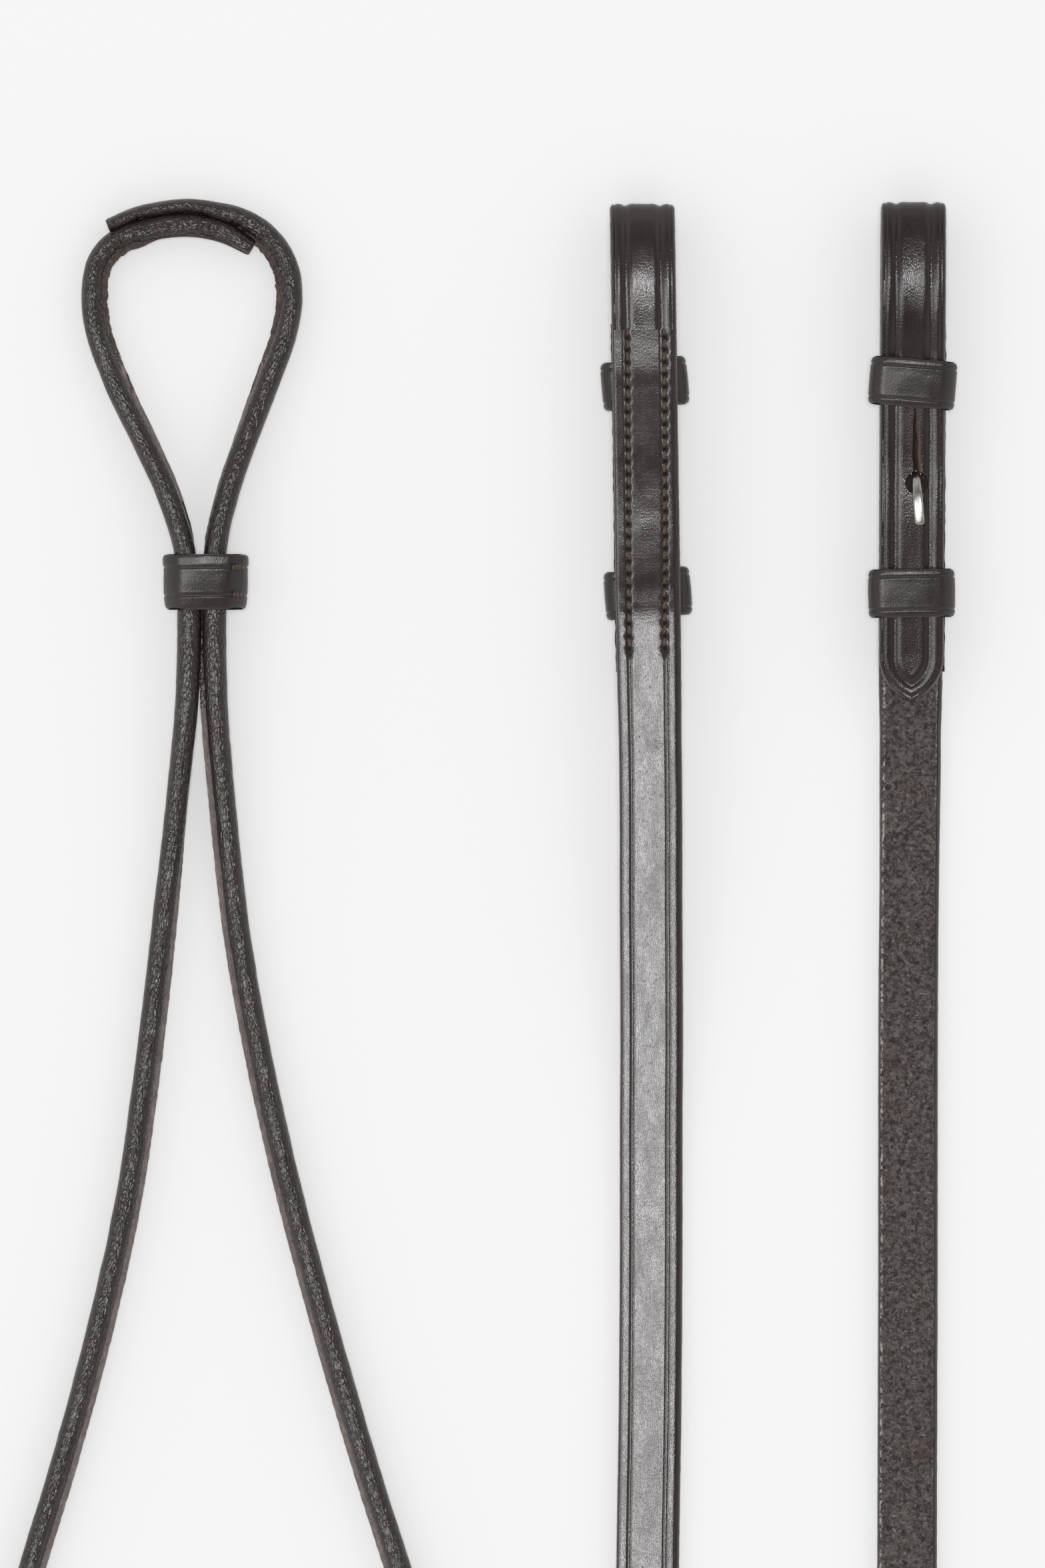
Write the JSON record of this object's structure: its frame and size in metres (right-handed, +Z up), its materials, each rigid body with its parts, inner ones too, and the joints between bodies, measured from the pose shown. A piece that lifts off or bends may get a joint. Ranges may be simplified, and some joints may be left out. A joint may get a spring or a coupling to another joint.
{
  "type": "pair of snaffle bridle reins",
  "caption": "Rolled leather reins with a hand loop and slide keeper, ending in flat straps with folded hook stud billets.",
  "frame": {"origin": "on the table, under the middle of the whole layout's box", "axes": "+X across the straps, from the hand loop to the off rein; +Y along the straps towards the bit loops; +Z up from the table"},
  "size_m": [0.2599, 0.6453, 0.0137],
  "materials": {
    "rein_leather": "waxed havana bridle leather, grain side semi-gloss, flesh side dyed suede",
    "keeper_leather": "smooth creased leather, semi-gloss",
    "backing_leather": "plain backing leather, matt",
    "filler_cord": "undyed twisted cotton filler, hidden",
    "waxed_thread": "waxed linen thread, dark brown",
    "nickel": "polished nickel-plated stud"
  },
  "bodies": {
    "root": {"near_rolled_cover": "rein_leather", "near_rolled_core": "filler_cord", "near_flat_strap": "rein_leather", "off_rolled_cover": "rein_leather", "off_rolled_core": "filler_cord", "off_flat_strap": "rein_leather"},
    "hand_keeper": {"hand_keeper": "keeper_leather", "hand_keeper_thread_upper": "waxed_thread", "hand_keeper_thread_lower": "waxed_thread"},
    "near_billet": {"near_billet_strap": "rein_leather", "near_billet_lining": "backing_leather", "near_stud_plate": "nickel", "near_hook_stud": "nickel", "near_upper_keeper": "keeper_leather", "near_lower_keeper": "keeper_leather", "near_thread_left": "waxed_thread", "near_thread_right": "waxed_thread"},
    "near_tab": {"near_billet_tab": "rein_leather"},
    "off_billet": {"off_billet_strap": "rein_leather", "off_billet_lining": "backing_leather", "off_stud_plate": "nickel", "off_hook_stud": "nickel", "off_upper_keeper": "keeper_leather", "off_lower_keeper": "keeper_leather", "off_thread_left": "waxed_thread", "off_thread_right": "waxed_thread"},
    "off_tab": {"off_billet_tab": "rein_leather"}
  },
  "joints": [
    {"name": "hand_keeper_slide", "type": "slide", "parent": "root", "child": "hand_keeper", "axis": [0, 1, 0], "range_m": [-0.014, 0]},
    {"name": "near_billet_flex", "type": "hinge", "parent": "root", "child": "near_billet", "pos_m": [0.051, 0.175, 0.0115], "axis": [0.9999, 0.0148, 0], "range_deg": [0, 110]},
    {"name": "off_billet_flex", "type": "hinge", "parent": "root", "child": "off_billet", "pos_m": [0.118, 0.175, 0.003], "axis": [1, -0.0049, 0], "range_deg": [0, 110]},
    {"name": "near_tab_slide", "type": "slide", "parent": "near_billet", "child": "near_tab", "axis": [-0.0148, 0.9999, 0], "range_m": [-0.014, 0.0025]},
    {"name": "off_tab_slide", "type": "slide", "parent": "off_billet", "child": "off_tab", "axis": [0.0049, 1, 0], "range_m": [-0.014, 0.0025]}
  ]
}
